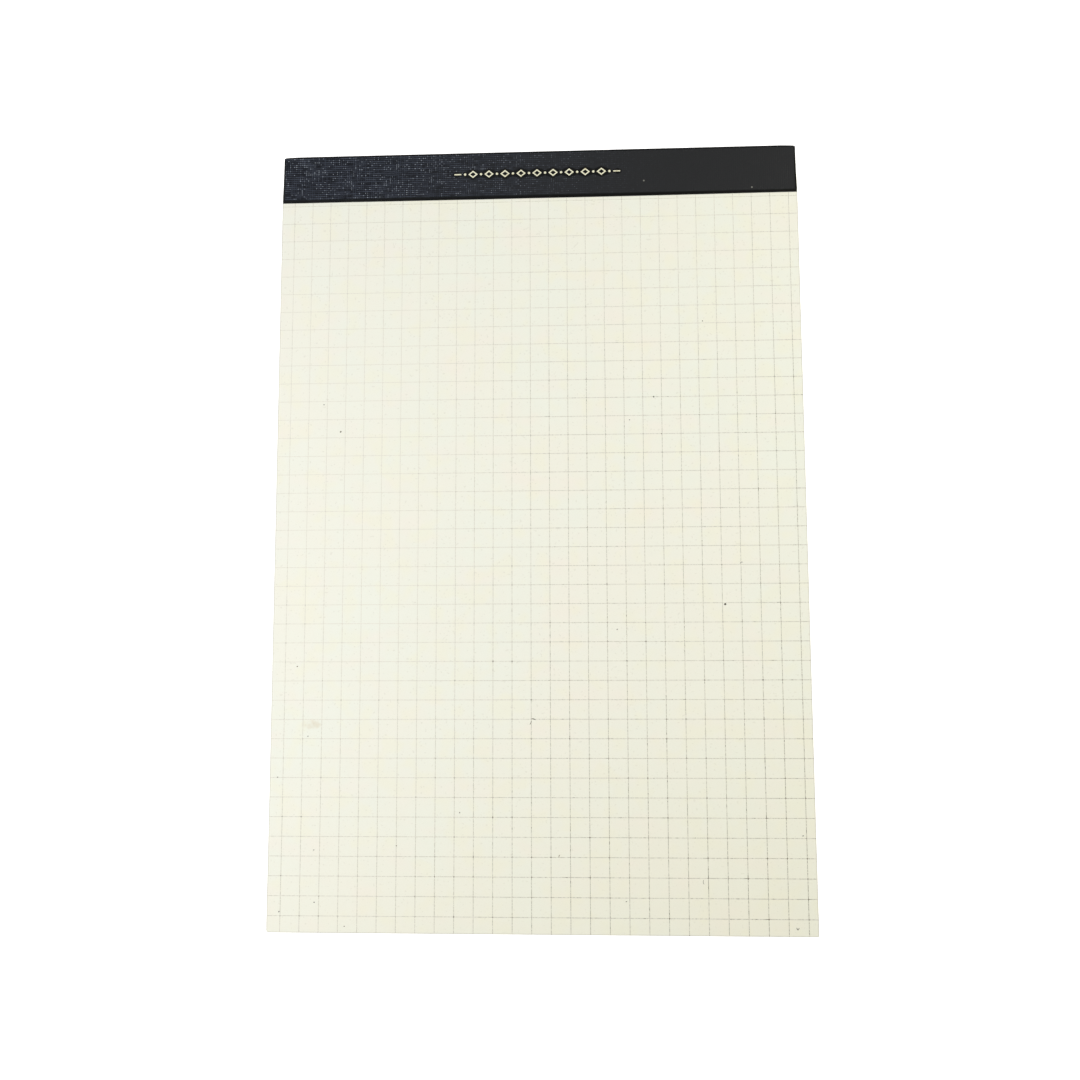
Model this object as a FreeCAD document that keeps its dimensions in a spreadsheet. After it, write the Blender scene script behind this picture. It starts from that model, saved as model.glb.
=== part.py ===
import FreeCAD, Part
import math
import os
import Sketcher

# A writing pad bound at the head. It lies on its back: X runs across the sheets, +Y points to the
# bound head and +Z comes up out of the writing face. The origin is under the middle of the pad.

# Driving sizes: the lengths are in millimetres
DRIVING_SIZES = {
    # the sheets and their board, trimmed together
    "sheet_width": 141.0,
    "sheet_length": 208.0,
    "sheet_count": 60,
    "sheet_caliper": 0.1,
    "board_thickness": 1.2,
    # the glue film over the head edges
    "glue_thickness": 0.4,
    "glue_end_gap": 0.6,
    # the strip folded over the head
    "strip_thickness": 0.25,
    "strip_front": 13.4,
    "strip_back": 13.4,
    "strip_side_inset": 0.2,
    # the stamped ornament: open lozenges in a row, a dot on each side of each, a dash at both ends
    "foil_thickness": 0.05,
    "foil_from_head": 6.4,
    "foil_stroke": 0.33,
    "lozenge_count": 9,
    "lozenge_pitch": 4.4,
    "lozenge_width": 2.6,
    "lozenge_height": 2.1,
    "dot_diameter": 0.66,
    "dash_length": 1.9,
    "dash_gap": 0.7,
}

# Levels, lengths and faces that the pieces share, as expressions over the driving sizes
BLOCK_THICKNESS = "Sizes.sheet_count * Sizes.sheet_caliper"
STACK_THICKNESS = f"({BLOCK_THICKNESS} + Sizes.board_thickness)"
STRIP_HEIGHT = f"({STACK_THICKNESS} + 2 * Sizes.strip_thickness)"
STRIP_WIDTH = "Sizes.sheet_width - 2 * Sizes.strip_side_inset"
BOARD_UNDERSIDE = "Sizes.strip_thickness"
BLOCK_UNDERSIDE = "Sizes.strip_thickness + Sizes.board_thickness"
HEAD_FACE = "(Sizes.sheet_length + Sizes.glue_thickness + Sizes.strip_thickness) / 2"
SHEET_HEAD = f"{HEAD_FACE} - Sizes.strip_thickness - Sizes.glue_thickness"
ROW_LENGTH = "Sizes.lozenge_pitch * Sizes.lozenge_count"

# How a sketch numbers the points of a line or an arc, its own two axes and its own origin
START, END, CENTRE = range(1, 4)
HORIZONTAL_AXIS, VERTICAL_AXIS = range(-1, -3, -1)
ORIGIN_POINT = (HORIZONTAL_AXIS, START)


def make_sizes_sheet():
    """Spreadsheet with one named cell for each driving size."""
    sheet = doc.addObject("Spreadsheet::Sheet", "Sizes")
    for row, (alias, value) in enumerate(DRIVING_SIZES.items(), start=1):
        sheet.set(f"A{row}", alias)
        sheet.set(f"B{row}", str(value))
        sheet.setAlias(f"B{row}", alias)
    doc.recompute()
    return sheet


def add_body(label, along_y, height):
    """Body whose own origin is bound to a place on the middle line and a height."""
    body = doc.addObject("PartDesign::Body", label)
    body.Label = label
    body.setExpression("Placement.Base.y", along_y)
    body.setExpression("Placement.Base.z", height)
    return body


def origin_feature(body, role):
    return next(item for item in body.Origin.OriginFeatures if item.Role == role)


def add_sketch(body, name, plane):
    sketch = body.newObject("Sketcher::SketchObject", name)
    sketch.AttachmentSupport = [(origin_feature(body, plane), "")]
    sketch.MapMode = "FlatFace"
    return sketch


def relate(sketch, kind, *geometry):
    sketch.addConstraint(Sketcher.Constraint(kind, *geometry))


def bind(sketch, name, kind, *geometry, drawn, to):
    """Dimension that starts at its drawn value and follows an expression."""
    index = sketch.addConstraint(Sketcher.Constraint(kind, *geometry, drawn))
    sketch.renameConstraint(index, name)
    sketch.setExpression(f"Constraints.{name}", to)


def add_polygon(sketch, *corners):
    """Closed run of straight lines, one from each corner. Returns their numbers."""
    points = [FreeCAD.Vector(across, up, 0) for across, up in corners]
    lines = [
        sketch.addGeometry(Part.LineSegment(start, end), False)
        for start, end in zip(points, points[1:] + points[:1])
    ]
    for line, following in zip(lines, lines[1:] + lines[:1]):
        relate(sketch, "Coincident", line, END, following, START)
    return lines


def square_up(sketch, lines):
    """Make the lines of a polygon level and upright in turn, the first one level."""
    for level, upright in zip(lines[::2], lines[1::2]):
        relate(sketch, "Horizontal", level)
        relate(sketch, "Vertical", upright)


def add_lozenge(sketch, half_width, half_height):
    """Four-sided figure centred on the sketch's origin, with its corners on the two axes."""
    lines = add_polygon(
        sketch, (-half_width, 0), (0, -half_height), (half_width, 0), (0, half_height)
    )
    left, low, right, high = lines
    relate(sketch, "PointOnObject", left, START, HORIZONTAL_AXIS)
    relate(sketch, "PointOnObject", low, START, VERTICAL_AXIS)
    relate(sketch, "Symmetric", left, START, right, START, *ORIGIN_POINT)
    relate(sketch, "Symmetric", low, START, high, START, *ORIGIN_POINT)
    return lines


def add_pad(body, name, sketch, length, side="One side"):
    pad = body.newObject("PartDesign::Pad", name)
    pad.Profile = sketch
    pad.SideType = side
    pad.setExpression("Length", length)
    return pad


def add_row(body, name, pad, count, pitch):
    """Repeat a pad along the strip."""
    row = body.newObject("PartDesign::LinearPattern", name)
    row.Originals = [pad]
    row.Direction = (origin_feature(body, "X_Axis"), [""])
    row.Mode = "Spacing"
    row.setExpression("Offset", pitch)
    row.setExpression("Occurrences", count)
    body.Tip = row
    return row


def edges_across(shape, along_y, height):
    """Names of the edges that run across the pad at one place of its side view."""
    names = []
    for number, edge in enumerate(shape.Edges, start=1):
        ends = [vertex.Point for vertex in edge.Vertexes]
        if all(math.hypot(end.y - along_y, end.z - height) < 1e-6 for end in ends):
            names.append(f"Edge{number}")
    return names


def add_fold(body, name, base, places, radius):
    """Round the edges that run across the pad at the given places of its side view."""
    fold = body.newObject("PartDesign::Fillet", name)
    fold.Base = (base, [edge for place in places for edge in edges_across(base.Shape, *place)])
    fold.setExpression("Radius", radius)
    return fold


def make_trimmed_stock(label, underside, thickness):
    """Flat stock with the outline that one cut of the guillotine gives the sheets and the board."""
    body = add_body(label, SHEET_HEAD, underside)
    outline = add_sketch(body, f"{label}_outline", "XY_Plane")
    half_width, length = sizes.sheet_width / 2, sizes.sheet_length
    lines = add_polygon(
        outline, (-half_width, -length), (half_width, -length), (half_width, 0), (-half_width, 0)
    )
    foot, right, head, left = lines
    square_up(outline, lines)
    relate(outline, "Symmetric", head, START, head, END, *ORIGIN_POINT)
    bind(outline, "width", "DistanceX", foot, START, foot, END,
         drawn=sizes.sheet_width, to="Sizes.sheet_width")
    bind(outline, "length", "DistanceY", right, START, right, END,
         drawn=length, to="Sizes.sheet_length")
    add_pad(body, f"{label}_stock", outline, thickness)
    return body


def make_spine_glue():
    """Film over the head edges, its two outer edges round where the strip bends over them."""
    body = add_body("spine_glue", SHEET_HEAD, BOARD_UNDERSIDE)
    section = add_sketch(body, "glue_section", "YZ_Plane")
    film = sizes.glue_thickness
    height = sizes.sheet_count * sizes.sheet_caliper + sizes.board_thickness
    axis = FreeCAD.Vector(0, 0, 1)
    high_bend = Part.Circle(FreeCAD.Vector(0, height - film, 0), axis, film)
    low_bend = Part.Circle(FreeCAD.Vector(0, film, 0), axis, film)
    inner = section.addGeometry(
        Part.LineSegment(FreeCAD.Vector(0, 0, 0), FreeCAD.Vector(0, height, 0)), False
    )
    outer = section.addGeometry(
        Part.LineSegment(FreeCAD.Vector(film, height - film, 0), FreeCAD.Vector(film, film, 0)), False
    )
    high = section.addGeometry(Part.ArcOfCircle(high_bend, 0, math.pi / 2), False)
    low = section.addGeometry(Part.ArcOfCircle(low_bend, -math.pi / 2, 0), False)
    relate(section, "Coincident", inner, START, *ORIGIN_POINT)
    relate(section, "Coincident", inner, END, high, END)
    relate(section, "Coincident", high, START, outer, START)
    relate(section, "Coincident", outer, END, low, END)
    relate(section, "Coincident", low, START, inner, START)
    relate(section, "Vertical", inner)
    relate(section, "Vertical", outer)
    for bend, level_point in ((high, START), (low, END)):
        relate(section, "PointOnObject", bend, CENTRE, VERTICAL_AXIS)
        relate(section, "Horizontal", bend, CENTRE, bend, level_point)
    bind(section, "bend", "Radius", high, drawn=film, to="Sizes.glue_thickness")
    bind(section, "height", "DistanceY", inner, START, inner, END, drawn=height, to=STACK_THICKNESS)
    add_pad(body, "glue_film", section, "Sizes.sheet_width - 2 * Sizes.glue_end_gap", "Symmetric")
    return body


def make_binding_strip():
    """One strip of embossed paper, folded round the head and glued down on both faces."""
    body = add_body("binding_strip", HEAD_FACE, "0")
    section = add_sketch(body, "strip_section", "YZ_Plane")
    wall = sizes.strip_thickness
    front, back = sizes.strip_front, sizes.strip_back
    height = sizes.sheet_count * sizes.sheet_caliper + sizes.board_thickness + 2 * wall
    lines = add_polygon(
        section, (-back, 0), (0, 0), (0, height), (-front, height),
        (-front, height - wall), (-wall, height - wall), (-wall, wall), (-back, wall)
    )
    under, spine, over, front_edge, over_inside, spine_inside, under_inside, back_edge = lines
    square_up(section, lines)
    relate(section, "Coincident", spine, START, *ORIGIN_POINT)
    bind(section, "height", "DistanceY", spine, START, spine, END,
         drawn=height, to=STRIP_HEIGHT)
    bind(section, "front", "DistanceX", over, END, over, START,
         drawn=front, to="Sizes.strip_front")
    bind(section, "back", "DistanceX", under, START, under, END,
         drawn=back, to="Sizes.strip_back")
    bind(section, "front_wall", "DistanceY", front_edge, END, front_edge, START,
         drawn=wall, to="Sizes.strip_thickness")
    bind(section, "back_wall", "DistanceY", back_edge, END, back_edge, START,
         drawn=wall, to="Sizes.strip_thickness")
    bind(section, "spine_wall", "DistanceX", spine_inside, START, spine, END,
         drawn=wall, to="Sizes.strip_thickness")
    folded = add_pad(body, "folded_strip", section, STRIP_WIDTH, "Symmetric")
    doc.recompute()
    inside = add_fold(body, "fold_inside", folded, [(-wall, wall), (-wall, height - wall)],
                      "Sizes.glue_thickness")
    doc.recompute()
    add_fold(body, "fold_outside", inside, [(0, 0), (0, height)],
             "Sizes.glue_thickness + Sizes.strip_thickness")
    return body


def add_lozenge_row(body):
    """Open lozenges, drawn once at the left end of the row and repeated to the right."""
    outline = add_sketch(body, "lozenge_outline", "XY_Plane")
    outline.setExpression("AttachmentOffset.Base.x", f"(Sizes.lozenge_pitch - {ROW_LENGTH}) / 2")
    half_width, half_height = sizes.lozenge_width / 2, sizes.lozenge_height / 2
    across_corner = math.hypot(half_width, half_height) / (half_width * half_height)
    opening = 1 - sizes.foil_stroke * across_corner
    outer = add_lozenge(outline, half_width, half_height)
    inner = add_lozenge(outline, half_width * opening, half_height * opening)
    bind(outline, "width", "DistanceX", outer[0], START, outer[2], START,
         drawn=sizes.lozenge_width, to="Sizes.lozenge_width")
    bind(outline, "height", "DistanceY", outer[1], START, outer[3], START,
         drawn=sizes.lozenge_height, to="Sizes.lozenge_height")
    relate(outline, "Parallel", outer[0], inner[0])
    bind(outline, "stroke", "Distance", inner[0], START, outer[0],
         drawn=sizes.foil_stroke, to="Sizes.foil_stroke")
    lozenge = add_pad(body, "first_lozenge", outline, "Sizes.foil_thickness")
    add_row(body, "lozenge_row", lozenge, "Sizes.lozenge_count", "Sizes.lozenge_pitch")


def add_dot_row(body):
    """Dots halfway between the lozenges and one beyond the last at each end."""
    outline = add_sketch(body, "dot_outline", "XY_Plane")
    outline.setExpression("AttachmentOffset.Base.x", f"-{ROW_LENGTH} / 2")
    centre, axis = FreeCAD.Vector(0, 0, 0), FreeCAD.Vector(0, 0, 1)
    circle = outline.addGeometry(Part.Circle(centre, axis, sizes.dot_diameter / 2), False)
    relate(outline, "Coincident", circle, CENTRE, *ORIGIN_POINT)
    bind(outline, "diameter", "Diameter", circle,
         drawn=sizes.dot_diameter, to="Sizes.dot_diameter")
    dot = add_pad(body, "first_dot", outline, "Sizes.foil_thickness")
    add_row(body, "dot_row", dot, "Sizes.lozenge_count + 1", "Sizes.lozenge_pitch")


def add_end_dashes(body):
    """A short dash that closes the row on the left, and its mirror image on the right."""
    outline = add_sketch(body, "dash_outline", "XY_Plane")
    outline.setExpression(
        "AttachmentOffset.Base.x", f"-{ROW_LENGTH} / 2 - Sizes.dot_diameter / 2 - Sizes.dash_gap"
    )
    half_stroke, length = sizes.foil_stroke / 2, sizes.dash_length
    lines = add_polygon(
        outline, (-length, -half_stroke), (0, -half_stroke), (0, half_stroke), (-length, half_stroke)
    )
    low, near_end, high, far_end = lines
    square_up(outline, lines)
    relate(outline, "Symmetric", near_end, START, near_end, END, *ORIGIN_POINT)
    bind(outline, "length", "DistanceX", low, START, low, END,
         drawn=length, to="Sizes.dash_length")
    bind(outline, "stroke", "DistanceY", near_end, START, near_end, END,
         drawn=sizes.foil_stroke, to="Sizes.foil_stroke")
    left_dash = add_pad(body, "left_dash", outline, "Sizes.foil_thickness")
    right_dash = body.newObject("PartDesign::Mirrored", "right_dash")
    right_dash.Originals = [left_dash]
    right_dash.MirrorPlane = (origin_feature(body, "YZ_Plane"), [""])
    body.Tip = right_dash


def make_foil_ornament():
    """Gold foil stamped on the middle of the strip's front: a plain row of lozenges and dots."""
    body = add_body("foil_ornament", f"{HEAD_FACE} - Sizes.foil_from_head", STRIP_HEIGHT)
    body.AllowCompound = True
    add_lozenge_row(body)
    add_dot_row(body)
    add_end_dashes(body)
    return body


def check_and_export(bodies):
    """Stop if anything failed to build, then write one STEP file for each piece."""
    for item in doc.Objects:
        if "Invalid" in item.State or "Error" in item.State:
            raise RuntimeError(f"{item.Label} failed to build")
    for body in bodies:
        if body.Shape.isNull() or not body.Shape.isValid():
            raise RuntimeError(f"{body.Label} has no valid shape")
    os.makedirs("parts", exist_ok=True)
    for body in bodies:
        body.Shape.exportStep(f"parts/{body.Label}.step")
        box = body.Shape.BoundBox
        print(f"{body.Label}: {len(body.Shape.Solids)} solids, {body.Shape.Volume:.2f} mm3, "
              f"x {box.XMin:.3f} {box.XMax:.3f}, y {box.YMin:.3f} {box.YMax:.3f}, "
              f"z {box.ZMin:.3f} {box.ZMax:.3f}")


doc = FreeCAD.newDocument("WritingPad")
sizes = make_sizes_sheet()
pieces = [
    make_trimmed_stock("sheet_block", BLOCK_UNDERSIDE, BLOCK_THICKNESS),
    make_trimmed_stock("backing_board", BOARD_UNDERSIDE, "Sizes.board_thickness"),
    make_spine_glue(),
    make_binding_strip(),
    make_foil_ornament(),
]
doc.recompute()
check_and_export(pieces)
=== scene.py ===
import math
import random

import bmesh
import bpy
from mathutils import Matrix, Quaternion, Vector, noise


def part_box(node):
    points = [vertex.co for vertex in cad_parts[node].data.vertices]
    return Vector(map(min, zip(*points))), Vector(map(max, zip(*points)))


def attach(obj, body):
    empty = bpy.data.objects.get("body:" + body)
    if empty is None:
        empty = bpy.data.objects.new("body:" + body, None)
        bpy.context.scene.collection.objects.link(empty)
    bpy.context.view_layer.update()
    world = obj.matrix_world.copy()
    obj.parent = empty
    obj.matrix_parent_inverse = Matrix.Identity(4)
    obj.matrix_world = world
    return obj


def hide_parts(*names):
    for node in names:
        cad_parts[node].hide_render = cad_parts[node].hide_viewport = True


# A writing pad lying on a pale table: a chipboard back, sixty sheets of cream squared paper trimmed
# together, a film of padding glue over their head, and a dark linen-embossed strip folded over the glue
# with an ornament stamped in gold foil. Lengths are in millimetres, and each mesh is scaled to metres.

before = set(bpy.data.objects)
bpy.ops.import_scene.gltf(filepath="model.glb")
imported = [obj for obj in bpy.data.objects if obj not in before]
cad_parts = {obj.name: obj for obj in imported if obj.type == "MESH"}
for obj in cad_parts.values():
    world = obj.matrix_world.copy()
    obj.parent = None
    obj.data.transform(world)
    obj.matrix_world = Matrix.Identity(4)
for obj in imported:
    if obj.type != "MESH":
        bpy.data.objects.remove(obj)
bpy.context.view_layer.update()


# Backing board
# Grey chipboard of recycled pulp, of the sheets' outline, that gives the pad something to write
# against. The guillotine that trims the pad crushes its rims, and handling blunts its corners.

METRES = 0.001
PAD_BODY = "root"


def corners(node):
    """The lowest and the highest corner of a piece of the frame, in millimetres."""
    low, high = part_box(node)
    return low / METRES, high / METRES


def ease(value, start, end):
    """0 before start, 1 beyond end and a smooth step between, whichever of the two is larger."""
    share = min(max((value - start) / (end - start), 0.0), 1.0)
    return share * share * (3.0 - 2.0 * share)


def stations(low, high, step, rim):
    """Places from low to high about a step apart, with two more close to each end for its rim."""
    count = round((high - low - 2 * rim) / step)
    inner = [low + rim + (high - low - 2 * rim) * k / count for k in range(count + 1)]
    return [low, low + rim / 2, *inner, high - rim / 2, high]


def blunt(x, y, half_width, foot, head, wear):
    """A point of a trimmed outline, moved in where a corner is worn; wear is each corner's cut-off."""
    across = math.copysign(1.0, x)
    along = 1.0 if y > (foot + head) / 2 else -1.0
    cut = wear[across, along]
    to_side = half_width - abs(x)
    to_end = head - y if along > 0 else y - foot
    moved = max(cut - to_side - to_end, 0.0) / 2
    return x - across * moved, y - along * moved


def add_slab(bm, xs, ys, levels, shape):
    """Adds a closed slab: a grid of faces below and above, and between them a wall with a ring of
    points at each level. shape(x, y, level) places a point. Gives back the faces above, below and of
    the wall."""
    last_x = len(xs) - 1
    last_y = len(ys) - 1
    rim = [(i, 0) for i in range(last_x)]
    rim += [(last_x, j) for j in range(last_y)]
    rim += [(i, last_y) for i in range(last_x, 0, -1)]
    rim += [(0, j) for j in range(last_y, 0, -1)]
    low, high = (
        {(i, j): bm.verts.new(shape(x, y, level)) for i, x in enumerate(xs) for j, y in enumerate(ys)}
        for level in (levels[0], levels[-1])
    )
    rings = [[low[at] for at in rim]]
    rings += [[bm.verts.new(shape(xs[i], ys[j], level)) for i, j in rim] for level in levels[1:-1]]
    rings += [[high[at] for at in rim]]
    above = []
    below = []
    for i in range(last_x):
        for j in range(last_y):
            cell = ((i, j), (i + 1, j), (i + 1, j + 1), (i, j + 1))
            above.append(bm.faces.new([high[at] for at in cell]))
            below.append(bm.faces.new([low[at] for at in reversed(cell)]))
    wall = []
    for under, over in zip(rings, rings[1:]):
        for k in range(len(rim)):
            after = (k + 1) % len(rim)
            wall.append(bm.faces.new((under[k], under[after], over[after], over[k])))
    return above, below, wall


def add_piece(name, bm, finish, smooth_below=math.radians(40)):
    """Makes a mesh drawn in millimetres a piece of the pad, shaded smooth but for its sharp edges."""
    bm.transform(Matrix.Scale(METRES, 4))
    bm.normal_update()
    for face in bm.faces:
        face.smooth = True
    for edge in bm.edges:
        edge.smooth = edge.calc_face_angle(0.0) < smooth_below
    mesh = bpy.data.meshes.new(name)
    bm.to_mesh(mesh)
    bm.free()
    mesh.materials.append(finish)
    piece = bpy.data.objects.new(name, mesh)
    bpy.context.scene.collection.objects.link(piece)
    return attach(piece, PAD_BODY)


def srgb(red, green, blue):
    """A colour as a screen gives it, from 0 to 255, in the linear light that shaders work in."""
    parts = [part / 255 for part in (red, green, blue)]
    linear = [part / 12.92 if part <= 0.04045 else ((part + 0.055) / 1.055) ** 2.4 for part in parts]
    return (*linear, 1.0)


def operation(name):
    """A Math node's operation as a pair of operators, the plain one and the reflected one."""

    def plain(self, other):
        return self.math(name, self, other)

    def reflected(self, other):
        return self.math(name, other, self)

    return plain, reflected


class Wire:
    """An output socket of a material's nodes. Arithmetic on it adds Math nodes."""

    def __init__(self, tree, socket):
        self.tree = tree
        self.socket = socket

    def node(self, kind, settings, sockets, output=0):
        """Adds a node to this wire's material: settings first, then its sockets' values or links."""
        made = self.tree.nodes.new(kind)
        for name, value in settings.items():
            setattr(made, name, value)
        for name, value in sockets.items():
            if isinstance(value, Wire):
                self.tree.links.new(value.socket, made.inputs[name])
            else:
                made.inputs[name].default_value = value
        return Wire(self.tree, made.outputs[output])

    def math(self, name, *values):
        return self.node("ShaderNodeMath", {"operation": name}, dict(enumerate(values)))

    __add__, __radd__ = operation("ADD")
    __sub__, __rsub__ = operation("SUBTRACT")
    __mul__, __rmul__ = operation("MULTIPLY")

    def step(self, start, end):
        """0 where this wire is at start, 1 where it is at end, and smooth between."""
        reach = {"Value": self, "From Min": start, "From Max": end}
        return self.node("ShaderNodeMapRange", {"interpolation_type": "SMOOTHSTEP"}, reach)

    def noise(self, size, stretch=(1, 1, 1), detail=2.0):
        """Noise from 0 to 1 over this place, of that grain in millimetres, drawn out by stretch."""
        scale = tuple(1 / (size * part) for part in stretch)
        at = self.node("ShaderNodeVectorMath", {"operation": "MULTIPLY"}, {0: self, 1: scale})
        return self.node("ShaderNodeTexNoise", {}, {"Vector": at, "Scale": 1.0, "Detail": detail})

    def tint(self, first, second):
        """The first colour where this wire is 0 and the second where it is 1. A Mix node takes its
        colours at inputs 6 and 7 and gives the mixed one at output 2."""
        sockets = {0: self, 6: first, 7: second}
        return self.node("ShaderNodeMix", {"data_type": "RGBA"}, sockets, output=2)

    def bump(self, depth):
        """The surface's normal with this wire as a relief of that depth in millimetres."""
        return self.node("ShaderNodeBump", {}, {"Height": self, "Distance": depth * METRES})

    def split(self):
        """This place's x, y and z."""
        parts = self.node("ShaderNodeSeparateXYZ", {}, {0: self}).socket.node
        return [Wire(self.tree, part) for part in parts.outputs]


def new_finish(name, **constants):
    """A material, its shader with these constant values, and a wire with the place in millimetres."""
    finish = bpy.data.materials.new(name)
    finish.use_nodes = True
    tree = finish.node_tree
    shader = tree.nodes["Principled BSDF"]
    for socket, value in constants.items():
        shader.inputs[socket.replace("_", " ")].default_value = value
    coordinates = Wire(tree, tree.nodes.new("ShaderNodeTexCoord").outputs["Object"])
    scale = {0: coordinates, "Scale": 1 / METRES}
    place = coordinates.node("ShaderNodeVectorMath", {"operation": "SCALE"}, scale)
    return finish, shader, place


def dress(shader, **wires):
    """Links these wires to the shader's sockets of the same names."""
    for socket, wire in wires.items():
        wire.tree.links.new(wire.socket, shader.inputs[socket.replace("_", " ")])


BOARD_STEP = 6.0
BOARD_RIM = 0.8
BOARD_CRUSH = 0.09
BOARD_RAGGED = 0.05
BOARD_RAGGED_RUN = 3.0
BOARD_LEVELS = (0.0, 0.12, 0.35, 0.65, 0.88, 1.0)
BOARD_WEAR = {(-1, -1): 0.75, (1, -1): 0.35, (-1, 1): 0.2, (1, 1): 0.2}

board_low, board_high = corners("backing_board")


def board_point(x, y, level):
    """A point of the board. level runs from 0 underneath to 1 on top. The wall is ragged all over and
    crushed at its lower and upper rim."""
    x, y = blunt(x, y, board_high.x, board_low.y, board_high.y, BOARD_WEAR)
    at = Vector((x / BOARD_RAGGED_RUN, y / BOARD_RAGGED_RUN, 5 * level))
    ragged = BOARD_RAGGED * (0.5 + 0.5 * noise.noise(at))
    drawn_in = BOARD_CRUSH * abs(2 * level - 1) ** 4 + ragged
    middle = (board_low.y + board_high.y) / 2
    reach = (board_high.y - board_low.y) / 2
    x *= 1 - drawn_in / board_high.x
    y = middle + (y - middle) * (1 - drawn_in / reach)
    return x, y, board_low.z + level * (board_high.z - board_low.z)


board, board_shader, board_place = new_finish("grey_chipboard", Specular_IOR_Level=0.25)
board_pulp = board_place.noise(3.0, (2.2, 1, 1), detail=5.0)
board_fibre = board_place.noise(0.35, (5, 1, 1), detail=3.0)
board_speck = board_place.noise(0.5, detail=0.0)
board_colour = board_pulp.step(0.3, 0.7).tint(srgb(146, 138, 125), srgb(171, 164, 151))
board_colour = (board_fibre.step(0.35, 0.75) * 0.5).tint(board_colour, srgb(187, 180, 168))
board_colour = board_speck.step(0.72, 0.8).tint(board_colour, srgb(84, 78, 72))
board_colour = board_speck.step(0.27, 0.2).tint(board_colour, srgb(206, 203, 197))
dress(
    board_shader,
    Base_Color=board_colour,
    Roughness=0.8 + 0.15 * board_pulp,
    Normal=(board_fibre + board_pulp).bump(0.05),
)

board_mesh = bmesh.new()
add_slab(
    board_mesh,
    stations(board_low.x, board_high.x, BOARD_STEP, BOARD_RIM),
    stations(board_low.y, board_high.y, BOARD_STEP, BOARD_RIM),
    BOARD_LEVELS,
    board_point,
)
chipboard_back = add_piece("chipboard_back", board_mesh, board)
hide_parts("backing_board")


# Sheets under the top one
# Fifty-nine leaves of uncoated cream paper, held only at the head: each lies a hair in or out of the
# next, and the stack opens very slightly to the foot. Their free edges show as fine lines of painted
# shade.
# They were stacked in lifts, handfuls that were jogged together, and so each lift is off line too.

SHEETS = 60
SHEET_THICKNESS = 0.1
LEAF_SHARE = 0.94
LEAF_STEP = 14.0
LEAF_RIM = 0.7
LIFT_OF_SHEETS = 15
LIFT_SHIFT = 0.06
LEAF_SHIFT = 0.02
LEAF_TRIM = 0.1
LEAF_TRIM_AT_FOOT = 0.4
LEAF_RIPPLE = 0.012
LEAF_RIPPLE_RUN = 9.0
LEAF_RIPPLE_TURN = 3.1
FOOT_FAN = 0.07
STRIP_ROOM = 0.02
HEAD_TAPER = 0.45
LEFT_FOOT_WEAR = 0.45
LEFT_FOOT_WEAR_BURIED = 0.3
LEFT_FOOT_WEAR_SPREAD = 0.06
RIGHT_FOOT_WEAR = (0.05, 0.2)
HEAD_WEAR = 0.1

block_low, block_high = corners("sheet_block")
strip_low, strip_high = corners("binding_strip")
strip_edge = strip_low.y


def taper(x, y):
    """A side edge drawn in at the head, where the glue shrinks the stack and the strip grips it."""
    return x * (1 - HEAD_TAPER * ease(y, strip_edge - 1, strip_high.y) / block_high.x)


def paper_finish(name):
    """Uncoated cream paper, faintly cloudy, with a fine tooth. Gives back the wires to work on."""
    paper, shader, place = new_finish(name, Specular_IOR_Level=0.2)
    cloud = place.noise(16.0, detail=3.0)
    blush = place.noise(8.0, (1.6, 1, 1), detail=2.0)
    straw = place.noise(5.5, detail=1.0)
    tooth = place.noise(0.22, (1.7, 1, 1), detail=3.0)
    speck = place.noise(0.55, detail=0.0)
    colour = cloud.step(0.3, 0.7).tint(srgb(241, 244, 232), srgb(243, 243, 230))
    colour = (blush.step(0.5, 0.75) * 0.3).tint(colour, srgb(248, 239, 228))
    colour = (straw.step(0.5, 0.7) * 0.27).tint(colour, srgb(244, 243, 217))
    colour = (tooth.step(0.5, 0.8) * 0.3).tint(colour, srgb(232, 231, 214))
    colour = (speck.step(0.71, 0.83) * 0.32).tint(colour, srgb(214, 213, 198))
    dress(shader, Roughness=0.82 + 0.12 * tooth, Normal=tooth.bump(0.012))
    return paper, shader, place, colour


leaf, leaf_shader, leaf_place, leaf_colour = paper_finish("cream_leaves")
# The leaves' edges are painted darker all over, and darker still in fine lines along them: painted shade
# of the gaps between the leaves.
leaf_gap_shade = leaf_place.noise(1.0, (90, 90, 0.12), detail=1.0)
leaf_colour = (0.3 + 0.7 * leaf_gap_shade.step(0.4, 0.7)).tint(leaf_colour, srgb(196, 191, 169))
dress(leaf_shader, Base_Color=leaf_colour)

LEAF_PATCH_AT = (0.01, 0.97)
LEAF_PATCH_SCALE = 1e-4
LEAF_BAND_PITCH = 0.24
LEAF_BAND_HEIGHT = 0.2

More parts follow.
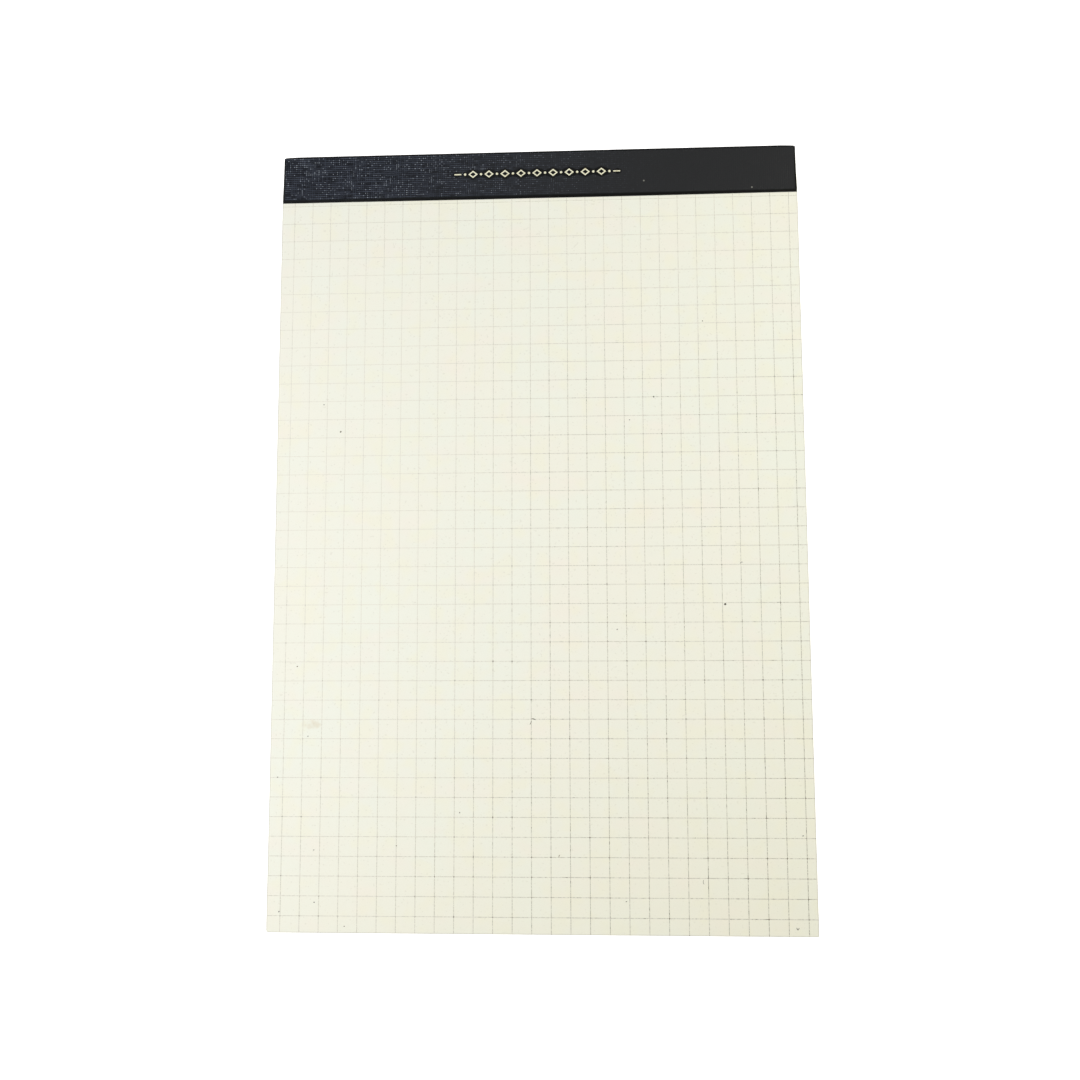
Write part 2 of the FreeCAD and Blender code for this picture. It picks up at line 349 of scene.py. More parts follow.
leaf_draw = random.Random(23)
leaf_mesh = bmesh.new()
leaf_map = leaf_mesh.loops.layers.uv.new("OFBake")
leaves = SHEETS - 1
leaf_pitch = (block_high.z - SHEET_THICKNESS - STRIP_ROOM - block_low.z) / leaves
lift_shift = Vector((0, 0))
for number in range(leaves):
    if number % LIFT_OF_SHEETS == 0:
        lift_shift = Vector((leaf_draw.uniform(-1, 1), leaf_draw.uniform(0, 1))) * LIFT_SHIFT
    shift = lift_shift + Vector((leaf_draw.gauss(0, 1), abs(leaf_draw.gauss(0, 1)))) * LEAF_SHIFT
    depth = 1 - number / leaves
    left_cut = LEFT_FOOT_WEAR + (LEFT_FOOT_WEAR_BURIED - LEFT_FOOT_WEAR) * depth
    left_cut += leaf_draw.uniform(-LEFT_FOOT_WEAR_SPREAD, LEFT_FOOT_WEAR_SPREAD)
    right_cut = leaf_draw.uniform(*RIGHT_FOOT_WEAR)
    leaf_wear = {(-1, -1): left_cut, (1, -1): right_cut, (-1, 1): HEAD_WEAR, (1, 1): HEAD_WEAR}
    leaf_low = block_low.z + leaf_pitch * number

    def leaf_point(x, y, level):
        """A point of this leaf. level runs from 0 underneath to 1 on top."""
        x, y = blunt(x, y, block_high.x, block_low.y, block_high.y, leaf_wear)
        at = Vector((x / LEAF_RIPPLE_RUN, y / LEAF_RIPPLE_RUN, LEAF_RIPPLE_TURN * number))
        drawn_in = LEAF_TRIM + LEAF_RIPPLE * noise.noise(at)
        x = taper(x, y) * (1 - drawn_in / block_high.x) + shift.x
        from_head = (block_high.y - y) / (block_high.y - block_low.y)
        y += (drawn_in * LEAF_TRIM_AT_FOOT + shift.y) * from_head
        fan = FOOT_FAN * from_head * number / leaves
        return x, y, leaf_low + fan + level * leaf_pitch * LEAF_SHARE

    leaf_xs = stations(block_low.x, block_high.x, LEAF_STEP, LEAF_RIM)
    leaf_ys = stations(block_low.y, block_high.y, LEAF_STEP, LEAF_RIM)
    above, below, wall = add_slab(leaf_mesh, leaf_xs, leaf_ys, (0.0, 1.0), leaf_point)
    # In the unwrapping each side of the block has a band with a thin row for each leaf; the faces that
    # other leaves hide share one small patch.
    for face in above + below:
        for loop in face.loops:
            u = LEAF_PATCH_AT[0] + LEAF_PATCH_SCALE * loop.vert.co.x
            v = LEAF_PATCH_AT[1] + LEAF_PATCH_SCALE * loop.vert.co.y
            loop[leaf_map].uv = (u, v)
    for face in wall:
        middle = face.calc_center_median()
        near_side = block_high.x - abs(middle.x) < 1.0
        if near_side and block_low.y + 0.7 < middle.y < block_high.y - 0.3:
            axis = 1
            band = 0 if middle.x < 0 else 1
        else:
            axis = 0
            band = 2 if middle.y < 0 else 3
        for loop in face.loops:
            co = loop.vert.co
            run = (co[axis] - block_low[axis]) / (block_high[axis] - block_low[axis])
            height = (co.z - block_low.z) / (block_high.z + 1 - block_low.z)
            v = LEAF_BAND_PITCH * band + 0.01 + LEAF_BAND_HEIGHT * height
            loop[leaf_map].uv = (0.02 + 0.96 * run, v)

under_sheets = add_piece("under_sheets", leaf_mesh, leaf)
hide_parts("sheet_block")


# Top sheet
# The sheet that is written on next, of the same paper: loose below the strip, so that it lies a little
# wavy and its foot stands off the stack. Its left foot corner is worn, and it has one faint tan smudge.

RULING = 5.0
FIRST_UPRIGHT = -66.95
FIRST_LEVEL = 89.93
SHEET_GRID = RULING / 2
SHEET_RIM = 0.7
SHEET_FREE_RUN = 50.0
SHEET_EASE = 0.055
SHEET_BILLOW = 0.03
SHEET_BILLOW_RUN = (48.0, 60.0)
SHEET_BILLOW_TURN = 2.7
FOOT_LIFT = 0.06
FOOT_LIFT_RUN = 38.0
CORNER_LIFT = 0.07
CORNER_LIFT_FROM = 38.0
SHEET_WEAR = {(-1, -1): 0.42, (1, -1): 0.15, (-1, 1): HEAD_WEAR, (1, 1): HEAD_WEAR}


def on_ruling(low, high, first):
    """Places from low to high that fall on the ruling and half way between, with the two rims."""
    half_rim = SHEET_RIM / 2
    clear = 3 * half_rim
    lowest = math.ceil((low + clear - first) / SHEET_GRID)
    highest = math.floor((high - clear - first) / SHEET_GRID)
    inner = [first + SHEET_GRID * k for k in range(lowest, highest + 1)]
    return [low, low + half_rim, low + SHEET_RIM, *inner, high - SHEET_RIM, high - half_rim, high]


def paper_rise(x, y):
    """How far the top sheet stands above its flat place, in millimetres."""
    free = ease(y, strip_edge, strip_edge - SHEET_FREE_RUN)
    at = Vector((x / SHEET_BILLOW_RUN[0], y / SHEET_BILLOW_RUN[1], SHEET_BILLOW_TURN))
    billow = noise.noise(at)
    foot = ease(y, block_low.y + FOOT_LIFT_RUN, block_low.y)
    corner = ease(abs(x), CORNER_LIFT_FROM, block_high.x)
    return free * (SHEET_EASE + SHEET_BILLOW * billow) + foot * (FOOT_LIFT + CORNER_LIFT * corner)


def sheet_point(x, y, level):
    """A point of the top sheet. level runs from 0 underneath to 1 on top."""
    flat_x, flat_y = blunt(x, y, block_high.x, block_low.y, block_high.y, SHEET_WEAR)
    z = block_high.z + paper_rise(x, y) - (1 - level) * SHEET_THICKNESS
    return taper(flat_x, flat_y), flat_y, z


SMUDGE_AT = (-59.5, -51.5)
SMUDGE_REACH = (3.4, 1.6)
WARM_SHADE_RUN = (20, 150)
RIM_SHADE = 0.4

paper, paper_shader, paper_place, paper_colour = paper_finish("cream_top_sheet")
paper_x, paper_y = paper_place.split()[:2]
smudge_u = (paper_x - SMUDGE_AT[0]) * (1 / SMUDGE_REACH[0])
smudge_v = (paper_y - SMUDGE_AT[1]) * (1 / SMUDGE_REACH[1])
smudge = 1 - smudge_u * smudge_u - smudge_v * smudge_v + (paper_place.noise(1.2) - 0.5) * 2.2
paper_colour = (smudge.step(0.0, 1.2) * 0.5).tint(paper_colour, srgb(223, 214, 190))
# Painted shade: the paper is painted yellower towards the lower right, the colour of the dimmer, warmer
# light there.
painted_warm_shade = (paper_x * 0.5 - paper_y).step(*WARM_SHADE_RUN)
paper_colour = (painted_warm_shade * 0.35).tint(paper_colour, srgb(243, 241, 216))
# Painted shade: a grey band along the sides and the foot of the sheet darkens its edges.
side_rim_shade = paper_x.math("ABSOLUTE", paper_x).step(block_high.x - RIM_SHADE, block_high.x)
foot_rim_shade = paper_y.step(block_low.y + RIM_SHADE, block_low.y)
painted_rim_shade = side_rim_shade.math("MAXIMUM", side_rim_shade, foot_rim_shade)
paper_colour = (painted_rim_shade * 0.7).tint(paper_colour, srgb(200, 200, 194))
dress(paper_shader, Base_Color=paper_colour)

sheet_mesh = bmesh.new()
sheet_map = sheet_mesh.loops.layers.uv.new("OFBake")
sheet_xs = on_ruling(block_low.x, block_high.x, FIRST_UPRIGHT)
sheet_ys = on_ruling(block_low.y, block_high.y, FIRST_LEVEL)
above, below, wall = add_slab(sheet_mesh, sheet_xs, sheet_ys, (0.0, 1.0), sheet_point)
sheet_size = block_high - block_low

# The written face fills the unwrapping, but for a small patch in its corner for the other faces.
for faces, (margin, span) in ((above, (0.03, 0.96)), (below + wall, (0.002, 0.016))):
    for face in faces:
        for loop in face.loops:
            from_corner = loop.vert.co - block_low
            u = margin + span * from_corner.x / sheet_size.x
            v = margin + span * from_corner.y / sheet_size.y
            loop[sheet_map].uv = (u, v)

top_sheet = add_piece("top_sheet", sheet_mesh, paper)
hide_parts("sheet_block")


# Ruling
# Squares of 5 mm printed on the top sheet in thin grey-brown ink, to the very edges of the paper. The
# ink is painted faintest at the left half way down, where the light is brightest, as painted glare, and
# strongest at the foot and the right; it lies darker where two lines cross, and a little weaker on the
# level lines.

RULE_WIDTH = 0.14
LEVEL_PROUD = 0.012
UPRIGHT_PROUD = 0.015
RULE_SUNK = 0.03
RULE_UNDER_STRIP = 0.6
RULE_INSET = 0.02
CROSSING_REACH = (0.28, 0.12)
LEVEL_REACH = (0.14, 0.08)

ink, ink_shader, ink_place = new_finish("ruling_ink", Specular_IOR_Level=0.2)
ink_x, ink_y = ink_place.split()[:2]

# The painted glare that washes out the ink is weaker at the head, over the right from a little below the
# head, in the right margin, and over the foot, so the ink shows stronger there. It is patchy over each
# line, some crossings took more of it, and a few blots lie on the lines.
head_less_glare = ink_y.step(60, 100)
right_less_glare = ink_x.step(-42, 14) * ink_y.step(95, 25)
margin_less_glare = ink_x.step(45, 70)
foot_less_glare = ink_y.step(-5, -110)
ink_lies = ink_place.noise(0.42, detail=1.0)
ink_patch = ink_place.noise(14.0, detail=2.0)
# Painted glare: where these terms are low, the ink is painted faint, as if washed out by the light.
ink_and_glare = 0.16 + 0.12 * head_less_glare + 0.22 * right_less_glare + 0.12 * margin_less_glare + 0.18 * foot_less_glare
ink_and_glare = ink_and_glare * (0.85 + 0.5 * ink_patch) * (0.4 + 0.68 * ink_lies.step(0.33, 0.63))
to_upright = ink_x.math("PINGPONG", ink_x - FIRST_UPRIGHT, RULING / 2)
to_level = ink_y.math("PINGPONG", ink_y - FIRST_LEVEL, RULING / 2)
overprint = to_upright.step(*CROSSING_REACH) * to_level.step(*CROSSING_REACH)
ink_dab = ink_place.noise(2.6, detail=0.0).step(0.5, 0.66) * ink_y.step(60, -60)
ink_and_glare = ink_and_glare * (1 + (0.3 + 1.1 * ink_dab) * overprint)
ink_and_glare = ink_and_glare * (1 - 0.16 * to_level.step(*LEVEL_REACH))
ink_blot = ink_place.noise(0.9, detail=0.0).step(0.68, 0.76) * right_less_glare
ink_and_glare = ink_and_glare * (1 + 0.8 * ink_blot)
ink_colour = ink_and_glare.tint(srgb(241, 240, 226), srgb(102, 95, 80))
dress(ink_shader, Base_Color=ink_colour, Roughness=0.75 + 0.15 * ink_lies)

rule_mesh = bmesh.new()
rule_map = rule_mesh.loops.layers.uv.new("OFBake")
uprights = math.floor((block_high.x - FIRST_UPRIGHT) / RULING) + 1
levels = math.floor((FIRST_LEVEL - block_low.y) / RULING) + 1


def add_rule(points, across, proud, row):
    """Adds a printed line through these points, as a thin closed ribbon that follows the paper, with a
    row of its own in the unwrapping."""
    side = Vector(across) * RULE_WIDTH / 2
    start = Vector(points[0])
    length = (Vector(points[-1]) - start).length
    rows = uprights + levels
    sections = []
    unwrapped = {}
    for x, y in points:
        surface = block_high.z + paper_rise(x, y)
        along = (Vector((x, y)) - start).length / length
        section = []
        for direction, on_top in ((-1, False), (1, False), (1, True), (-1, True)):
            z = surface + (proud if on_top else -RULE_SUNK)
            vert = rule_mesh.verts.new((x + direction * side.x, y + direction * side.y, z))
            unwrapped[vert] = (0.01 + 0.98 * along, (row + (0.8 if on_top else 0.2)) / rows)
            section.append(vert)
        sections.append(section)
    faces = [rule_mesh.faces.new(sections[0]), rule_mesh.faces.new(reversed(sections[-1]))]
    for here, there in zip(sections, sections[1:]):
        for k in range(4):
            after = (k + 1) % 4
            faces.append(rule_mesh.faces.new((here[k], there[k], there[after], here[after])))
    for face in faces:
        for loop in face.loops:
            loop[rule_map].uv = unwrapped[loop.vert]


inner_ys = [y for y in sheet_ys if block_low.y < y < strip_edge]
inner_xs = [x for x in sheet_xs if block_low.x < x < block_high.x]
for number in range(uprights):
    x = FIRST_UPRIGHT + RULING * number
    run = [block_low.y + RULE_INSET, *inner_ys, strip_edge + RULE_UNDER_STRIP]
    add_rule([(x, y) for y in run], (1, 0), UPRIGHT_PROUD, number)
for number in range(levels):
    y = FIRST_LEVEL - RULING * number
    run = [block_low.x + RULE_INSET, *inner_xs, block_high.x - RULE_INSET]
    add_rule([(x, y) for x in run], (0, -1), LEVEL_PROUD, uprights + number)

bmesh.ops.recalc_face_normals(rule_mesh, faces=rule_mesh.faces)
add_piece("printed_ruling", rule_mesh, ink)


# Flecks
# Specks and short fibres of dark pulp and dust on the top sheet, each where it lies. A row gives the
# place, the length and width, the way it points in degrees, and how far it bends.

FLECKS = (
    (-1.35, -50.1, 1.3, 0.22, -12, 0.10),
    (-2.15, -50.9, 1.3, 0.16, 68, -0.15),
    (48.74, -20.45, 0.62, 0.50, 20, 0.0),
    (-53.21, 26.55, 0.55, 0.38, 40, 0.0),
    (-57.89, 34.05, 0.35, 0.24, 0, 0.0),
    (30.93, 34.96, 0.55, 0.34, -30, 0.0),
    (24.48, 28.77, 0.34, 0.22, 10, 0.0),
    (32.88, 24.91, 0.36, 0.22, 70, 0.0),
    (44.29, 55.48, 0.36, 0.24, 0, 0.0),
    (20.59, -26.89, 0.40, 0.24, 35, 0.0),
    (53.26, -9.84, 1.1, 0.13, 25, 0.35),
    (5.27, -84.73, 0.85, 0.16, 60, 0.15),
    (22.2, -95.95, 0.40, 0.22, 0, 0.0),
    (-20.51, -73.92, 0.40, 0.22, 80, 0.0),
    (-36.91, -82.33, 0.38, 0.22, 0, 0.0),
    (-58.47, -83.52, 0.42, 0.20, 20, 0.0),
    (-58.09, -96.67, 0.40, 0.22, 0, 0.0),
    (-67.25, -99.06, 0.42, 0.26, 50, 0.0),
    (-50.18, -102.62, 0.38, 0.22, 0, 0.0),
    (42.05, -90.99, 1.4, 0.11, 92, 0.34),
    (65.05, -102.35, 0.8, 0.17, -62, 0.0),
    (65.4, -102.35, 0.8, 0.17, 62, 0.0),
    (67.16, -79.41, 0.42, 0.22, 0, 0.0),
    (-60.57, -54.43, 0.36, 0.22, 30, 0.0),
    (-63.76, -36.27, 0.42, 0.24, 20, 0.0),
    (-68.39, -65.01, 0.38, 0.22, 0, 0.0),
)
FLECK_SECTIONS = 9
FLECK_SIDES = 8
FLECK_FLAT = 0.35
FLECK_TAPER = 0.7

fleck, fleck_shader, fleck_place = new_finish("dark_pulp", Specular_IOR_Level=0.25)
fleck_grain = fleck_place.noise(0.2, detail=3.0)
fleck_kind = fleck_place.noise(7.0, detail=0.0)
fleck_colour = fleck_grain.step(0.3, 0.7).tint(srgb(52, 54, 50), srgb(104, 101, 90))
fleck_colour = (fleck_kind.step(0.5, 0.65) * 0.5).tint(fleck_colour, srgb(118, 104, 78))
dress(
    fleck_shader,
    Base_Color=fleck_colour,
    Roughness=0.6 + 0.3 * fleck_grain,
    Normal=fleck_grain.bump(0.02),
)

fleck_mesh = bmesh.new()
for x, y, length, width, points_to, bend in FLECKS:
    turn = math.radians(points_to)
    rings = []
    for k in range(1, FLECK_SECTIONS):
        share = 2 * k / FLECK_SECTIONS - 1
        radius = width / 2 * math.sqrt(1 - share ** 2) ** FLECK_TAPER
        u = share * length / 2
        v = bend * (1 - share ** 2)
        ring = []
        for side in range(FLECK_SIDES):
            about = 2 * math.pi * side / FLECK_SIDES
            across = v + radius * math.cos(about)
            at_x = x + u * math.cos(turn) - across * math.sin(turn)
            at_y = y + u * math.sin(turn) + across * math.cos(turn)
            at_z = block_high.z + paper_rise(x, y) + radius * FLECK_FLAT * math.sin(about)
            ring.append(fleck_mesh.verts.new((at_x, at_y, at_z)))
        rings.append(ring)
    fleck_mesh.faces.new(rings[0])
    fleck_mesh.faces.new(reversed(rings[-1]))
    for here, there in zip(rings, rings[1:]):
        for k in range(FLECK_SIDES):
            after = (k + 1) % FLECK_SIDES
            fleck_mesh.faces.new((here[k], there[k], there[after], here[after]))
bmesh.ops.recalc_face_normals(fleck_mesh, faces=fleck_mesh.faces)
add_piece("paper_flecks", fleck_mesh, fleck, smooth_below=math.radians(70))


# Padding glue
# A film of cream padding glue brushed over the head edges of the sheets and the board, which holds
# them. The strip hides it but for its two ends.


def refinish(node, finish):
    """Gives a piece of the frame that keeps its shape another material."""
    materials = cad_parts[node].data.materials
    materials.clear()
    materials.append(finish)


glue, glue_shader, glue_place = new_finish("padding_glue_film", Specular_IOR_Level=0.45)
glue_brush = glue_place.noise(0.5, (14, 1, 1), detail=3.0)
glue_cloud = glue_place.noise(4.0, detail=2.0)
dress(
    glue_shader,
    Base_Color=glue_cloud.step(0.3, 0.7).tint(srgb(226, 221, 204), srgb(212, 203, 178)),
    Roughness=0.3 + 0.3 * glue_brush,
    Normal=glue_brush.bump(0.04),
)
refinish("spine_glue", glue)


# Binding strip
# One strip of charcoal paper embossed as fine linen, folded over the glued head from the front to the
# back of the pad and pressed on hot, which smooths its folds and its cut edges. Its two ends were
# trimmed with the pad and pull in slightly towards the head.

STRIP_WALL = 0.25
STRIP_FOLD = 0.65
STRIP_STEP = 0.6
STRIP_RIM = 0.4
STRIP_FLAT_STEP = 0.45
FOLD_STEPS = 8
STRIP_TAPER = 0.15
STRIP_CORNER_RUN = 4.0
STRIP_CORNER_DROP = 0.12
STRIP_TIP_RUN = 0.5
STRIP_TIP_DROP = 0.2
STRIP_DROP_FROM = 7.0
STRIP_EDGE_RUN = 3.0
STRIP_EDGE_WAVE = 0.05
STRIP_EDGE_WAVE_RUN = 21.0
STRIP_EDGE_WAVE_TURN = 4.2
STRIP_EDGE_BOW = 0.1
STRIP_PRESS = 0.06
STRIP_PRESS_RUN = 0.5


def strip_profile():
    """The strip's outer face from its front edge over the head to its back edge, as places across the
    pad (y, z) with the way each faces."""
    flat = strip_high.y - STRIP_FOLD
    top = strip_high.z
    count = round((flat - strip_edge) / STRIP_FLAT_STEP)
    front = [(strip_edge + (flat - strip_edge) * k / count, top, 0.0, 1.0) for k in range(count)]
    over = []
    for k in range(FOLD_STEPS + 1):
        turn = math.pi / 2 * (1 - k / FOLD_STEPS)
        y = flat + STRIP_FOLD * math.cos(turn)
        over.append((y, top - STRIP_FOLD + STRIP_FOLD * math.sin(turn), math.cos(turn), math.sin(turn)))
    half = [*front, *over]
    fall = top - 2 * STRIP_FOLD
    steps = round(fall / STRIP_FLAT_STEP)
    wall = [(strip_high.y, top - STRIP_FOLD - fall * k / steps, 1.0, 0.0) for k in range(1, steps)]
    return half + wall + [(y, top - z, ny, -nz) for y, z, ny, nz in reversed(half)]


def strip_point(x, y, z, ny, nz, sunk):
    """A point of the strip. sunk is 0 on its outer face and 1 on its inner face."""
    flange = y < strip_high.y - STRIP_FOLD
    to_edge = y - strip_edge
    pressed = 0.0
    if flange:
        pressed = STRIP_PRESS * (1 - ease(to_edge, 0, STRIP_PRESS_RUN)) * (1 - sunk)
    wave = STRIP_EDGE_WAVE * noise.noise(Vector((x / STRIP_EDGE_WAVE_RUN, z, STRIP_EDGE_WAVE_TURN)))
    bow = STRIP_EDGE_BOW * (1 - (x / strip_high.x) ** 2)
    uneven = (wave - bow) * (1 - ease(to_edge, 0, STRIP_EDGE_RUN))
    to_tip = strip_high.x - abs(x)
    drop = STRIP_CORNER_DROP * (1 - ease(to_tip, 0, STRIP_CORNER_RUN))
    drop += STRIP_TIP_DROP * (1 - ease(to_tip, 0, STRIP_TIP_RUN))
    drop *= ease(y, strip_edge + STRIP_DROP_FROM, strip_high.y)
    inward = sunk * STRIP_WALL + pressed
    narrow = STRIP_TAPER * ease(y, strip_edge, strip_high.y)
    return x * (1 - narrow / strip_high.x), y - ny * inward - drop + uneven, z - nz * inward


strip_xs = stations(strip_low.x, strip_high.x, STRIP_STEP, STRIP_RIM)
profile = strip_profile()
strip_mesh = bmesh.new()
strip_map = strip_mesh.loops.layers.uv.new("OFBake")
outer, inner = (
    [[strip_mesh.verts.new(strip_point(x, *place, sunk)) for place in profile] for x in strip_xs]
    for sunk in (0.0, 1.0)
)
profile_run = [0.0]
for before, after in zip(profile, profile[1:]):
    profile_run.append(profile_run[-1] + math.hypot(after[0] - before[0], after[1] - before[1]))

# Where each layer's first band starts in the unwrapping, and how high it is.
OUTER_BAND = (0.01, 0.42)
INNER_BAND = (0.89, 0.04)
BAND_GAP = 0.02


def add_strip_face(points, band):
    """Adds a face of the strip through these points, each a layer with its numbers across and along
    the profile, and lays it in the unwrapping: the strip's left half has a band above the right's."""
    face = strip_mesh.faces.new([layer[i][j] for layer, i, j in points])
    low, height = band
    if sum(strip_xs[i] for layer, i, j in points) <= 0:
        low += height + BAND_GAP
    for loop, (layer, i, j) in zip(face.loops, points):
        across = abs(strip_xs[i]) / strip_high.x
        along = profile_run[j] / profile_run[-1]
        loop[strip_map].uv = (0.01 + 0.98 * across, low + height * along)


last_x = len(strip_xs) - 1
last_p = len(profile) - 1
for i in range(last_x):
    for j in range(last_p):
        cell = ((i, j), (i + 1, j), (i + 1, j + 1), (i, j + 1))
        add_strip_face([(outer, *at) for at in cell], OUTER_BAND)
        add_strip_face([(inner, *at) for at in reversed(cell)], INNER_BAND)
for i in range(last_x):
    for j, turn in ((0, 1), (last_p, -1)):
        cell = ((outer, i, j), (inner, i, j), (inner, i + 1, j), (outer, i + 1, j))
        add_strip_face(cell[::turn], OUTER_BAND)
for j in range(last_p):
    for i, turn in ((0, 1), (last_x, -1)):
        cell = ((outer, i, j), (outer, i, j + 1), (inner, i, j + 1), (inner, i, j))
        add_strip_face(cell[::turn], OUTER_BAND)
bmesh.ops.recalc_face_normals(strip_mesh, faces=strip_mesh.faces)

THREAD = 0.57
LINEN_DEPTH = 0.05
SMOOTH_EDGE = (1.0, 0.7)
SMOOTH_FOLD = (0.75, 0.55)
SMOOTH_FOLD_DOWN = 0.4
SMOOTH_TIP = (0.65, 0.45)
SMOOTH_ROUND_FOIL = (1.8, 1.4)
SMOOTH_ROW_END = (0.5, 0.2)
MOTIF_PITCH = 4.4
MOTIF_SLOPE = 0.41
MOTIF_LAST = (2.9, 2.2)
MOTIF_LAST_CUT = 0.75
LINT = ((29.12, 95.0), (58.28, 92.42))
LINT_RADIUS = 0.18

linen, linen_shader, linen_place = new_finish("charcoal_linen_paper", Specular_IOR_Level=0.25)
linen_x, linen_y, linen_z = linen_place.split()
warp_slub = linen_place.noise(0.7, (0.5, 6, 1), detail=2.0)
weft_slub = linen_place.noise(0.7, (5, 0.5, 1), detail=2.0)
warp_count = linen_x * (1 / THREAD) + warp_slub * 0.5
weft_count = (linen_y - linen_z) * (1 / THREAD) + weft_slub * 0.5
warp = warp_count.math("SINE", warp_count * (2 * math.pi))
weft = weft_count.math("SINE", weft_count * (2 * math.pi))

# Hot pressing leaves the cut edges, the folds and a rim round the foil smooth, without relief. The same
# mask paints them dark: along the cut edges and the folds that is painted shade, and round the foil and
# at the two ends it is a darker band. Each pair of SMOOTH sizes gives the distance at which the smooth
# part ends and the one within which it is full.
foil_low, foil_high = corners("foil_ornament")
half_height = strip_high.z / 2
from_middle = linen_x.math("ABSOLUTE", linen_x)
from_half_height = linen_z.math("ABSOLUTE", linen_z - half_height)
on_front = linen_z.step(half_height, strip_high.z - STRIP_FOLD)
from_row = linen_y.math("ABSOLUTE", linen_y - (foil_low.y + foil_high.y) / 2)
from_motif = from_row + MOTIF_SLOPE * linen_x.math("PINGPONG", linen_x, MOTIF_PITCH / 2)
last_motif = from_middle.step(*(foil_high.x - part for part in MOTIF_LAST))
from_motif = from_motif + last_motif * MOTIF_LAST_CUT
smooth = (linen_y - strip_edge + STRIP_EDGE_BOW).step(*SMOOTH_EDGE)
wall_end = half_height - STRIP_FOLD
fold_smooth_and_shade = (strip_high.y - linen_y).step(*SMOOTH_FOLD)
fold_smooth_and_shade = fold_smooth_and_shade * from_half_height.step(wall_end - SMOOTH_FOLD_DOWN, wall_end)
smooth_tip = (strip_high.x - from_middle).step(*SMOOTH_TIP) * 0.8
within_row = from_middle.step(*(foil_high.x + part for part in SMOOTH_ROW_END))
smooth_rim = from_motif.step(*SMOOTH_ROUND_FOIL) * 0.9 * within_row * on_front
for part in (fold_smooth_and_shade, smooth_tip, smooth_rim):
    smooth = smooth.math("MAXIMUM", smooth, part)

# The linen's relief is deeper at the left. There its thread crests carry a painted sheen and its
# crossings painted glints, on a darker bluish ground; all of it fades towards the right, where the linen
# is nearly lost.
weave_and_sheen = linen_x.step(40, -60)
embossed_sheen = weave_and_sheen * (1 - smooth)
relief = (warp * (0.3 + 0.7 * warp_slub) + weft * (0.3 + 0.7 * weft_slub)) * (0.22 + 0.28 * weave_and_sheen)
over_weft = weft.step(0.0, 0.9) * weft_slub.step(0.34, 0.58)
over_warp = warp.step(0.1, 0.9) * warp_slub.step(0.42, 0.64)
strand_sheen = over_weft.math("MAXIMUM", over_weft, over_warp * 0.7) * embossed_sheen
knot_number = {"X": warp_count.math("FLOOR", warp_count), "Y": weft_count.math("FLOOR", weft_count)}
knot_place = linen_x.node("ShaderNodeCombineXYZ", {}, knot_number)
knot_glint = linen_x.node("ShaderNodeTexWhiteNoise", {"noise_dimensions": "2D"}, {"Vector": knot_place})
knot_glint = knot_glint.step(0.66, 1.0) * warp.step(0.1, 0.95) * weft.step(0.1, 0.95) * embossed_sheen
# Painted sheen and painted glints at the left: a darker bluish ground, lighter bluish crests and pale
# crossings.
linen_colour = weave_and_sheen.tint(srgb(40, 41, 43), srgb(15, 18, 25))
linen_colour = (strand_sheen * 0.62).tint(linen_colour, srgb(84, 91, 106))
linen_colour = knot_glint.tint(linen_colour, srgb(166, 174, 186))
# Painted shade: the cut edges and the folds are painted nearly black; the rim round the foil and the ends
# get the same darker band.
linen_colour = smooth.tint(linen_colour, srgb(5, 6, 5))

# Two specks of pale lint lie on the front.
for lint_x, lint_y in LINT:
    across = linen_x - lint_x
    along = linen_y - lint_y
    lint = (across * across + along * along).step((1.6 * LINT_RADIUS) ** 2, (0.6 * LINT_RADIUS) ** 2)
    linen_colour = (lint * on_front).tint(linen_colour, srgb(128, 128, 122))
dress(
    linen_shader,
    Base_Color=linen_colour,
    Roughness=0.36 - 0.1 * strand_sheen - 0.06 * knot_glint,
    Normal=(relief * (1 - smooth)).bump(LINEN_DEPTH),
)
folded_strip = add_piece("folded_strip", strip_mesh, linen)
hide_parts("binding_strip")


# Foil ornament
# A row of lozenges and dots between two dashes, hot-stamped on the front of the strip in pale gold foil
# a few micrometres thick, which takes on the strip's grain and is worn thin in places.

foil, foil_shader, foil_place = new_finish("pale_gold_foil", Metallic=0.4)
foil_grain = foil_place.noise(0.25, detail=3.0)
foil_wear = foil_place.noise(0.9, detail=3.0)
foil_colour = foil_grain.step(0.3, 0.7).tint(srgb(253, 249, 210), srgb(255, 254, 234))
foil_colour = (foil_wear.step(0.6, 0.75) * 0.6).tint(foil_colour, srgb(196, 174, 104))
dress(
    foil_shader,
    Base_Color=foil_colour,
    Roughness=0.42 + 0.2 * foil_grain,
    Normal=foil_grain.bump(0.02),
)
refinish("foil_ornament", foil)


# Table, light and camera
# A pale table top that glows a little, so that it stays white, under four soft lamps: one at the left,
# a warm one at the right, one at the left of the foot, and a small high one beyond the head, whose
# sheen reaches the left of the strip. The camera stands where the photograph's did.

TABLE_REACH = 30000.0
TABLE_DROP = 0.02
TABLE_GLOW = {"Emission_Color": (1, 1, 1, 1), "Emission_Strength": 0.8}
SURROUND = (0.14, 0.14, 0.13, 1)

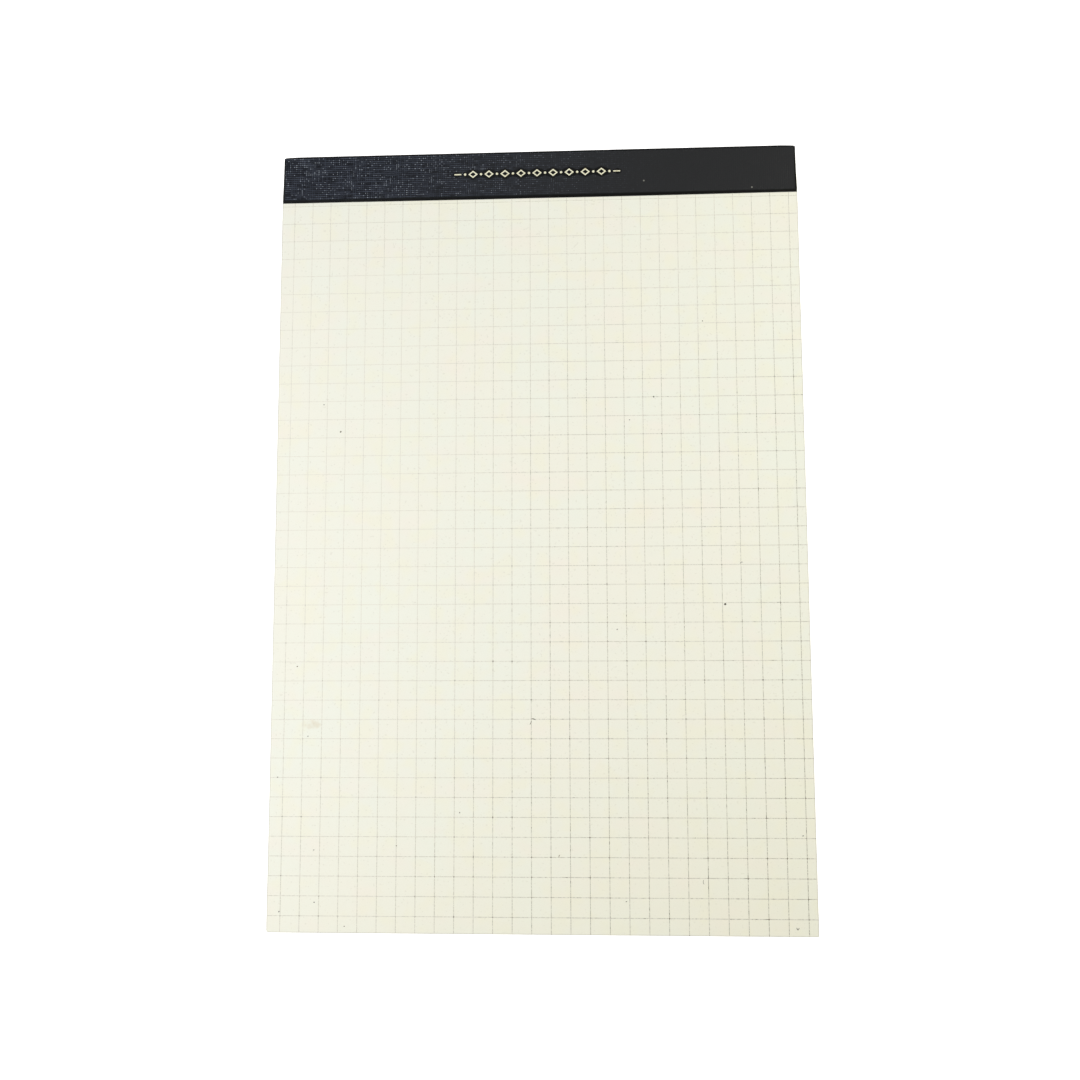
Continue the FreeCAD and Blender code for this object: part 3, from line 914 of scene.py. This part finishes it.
table, table_shader, table_place = new_finish("pale_table", Specular_IOR_Level=0.1, **TABLE_GLOW)
table_tone = table_place.noise(60.0).tint(srgb(248, 248, 248), srgb(251, 251, 251))
dress(table_shader, Base_Color=table_tone)
table_mesh = bmesh.new()
bmesh.ops.create_grid(table_mesh, x_segments=2, y_segments=2, size=TABLE_REACH)
bmesh.ops.translate(table_mesh, verts=table_mesh.verts, vec=(0, 0, -TABLE_DROP))
table_top = add_piece("table_top", table_mesh, table)


def add_lamp(name, place, size, power, colour):
    """A square soft lamp at this place, in metres, turned to the pad. power is in watts."""
    lamp = bpy.data.lights.new(name, "AREA")
    lamp.size = size
    lamp.energy = power
    lamp.color = colour
    stand = bpy.data.objects.new(name, lamp)
    stand.location = place
    stand.rotation_euler = (-Vector(place)).to_track_quat("-Z", "Y").to_euler()
    bpy.context.scene.collection.objects.link(stand)


add_lamp("left_lamp", (-0.31, -0.03, 0.35), 0.25, 1.22, (0.92, 0.91, 1.0))
add_lamp("right_lamp", (0.38, 0.13, 0.35), 0.25, 1.62, (1.0, 0.965, 0.865))
add_lamp("foot_lamp", (-0.316, -0.30, 0.35), 0.25, 0.56, (1.0, 0.97, 0.83))
add_lamp("sheen_lamp", (-0.20, 0.42, 0.62), 0.12, 0.28, (0.8, 0.9, 1.0))

world = bpy.data.worlds.new("soft_surround")
world.use_nodes = True
around = world.node_tree.nodes["Background"]
around.inputs["Color"].default_value = SURROUND
bpy.context.scene.world = world
bpy.context.scene.view_settings.view_transform = "Standard"

CAMERA_LENS = 36.74
CAMERA_AT = Vector((0.014474, -0.034343, 0.296878))
CAMERA_AIM = Vector((0.000479, -0.00323, 0.00745))
CAMERA_ROLL = math.radians(0.1846)

lens = bpy.data.cameras.new("camera")
lens.lens = CAMERA_LENS
lens.sensor_width = 36.0
lens.clip_start = 0.01
camera = bpy.data.objects.new("camera", lens)
look = (CAMERA_AIM - CAMERA_AT).normalized()
right = look.cross(Vector((0, 1, 0))).normalized()
level_view = Matrix((right, right.cross(look), -look)).transposed().to_quaternion()
camera.rotation_mode = "QUATERNION"
camera.rotation_quaternion = Quaternion(look, CAMERA_ROLL) @ level_view
camera.location = CAMERA_AT
bpy.context.scene.collection.objects.link(camera)
bpy.context.scene.camera = camera
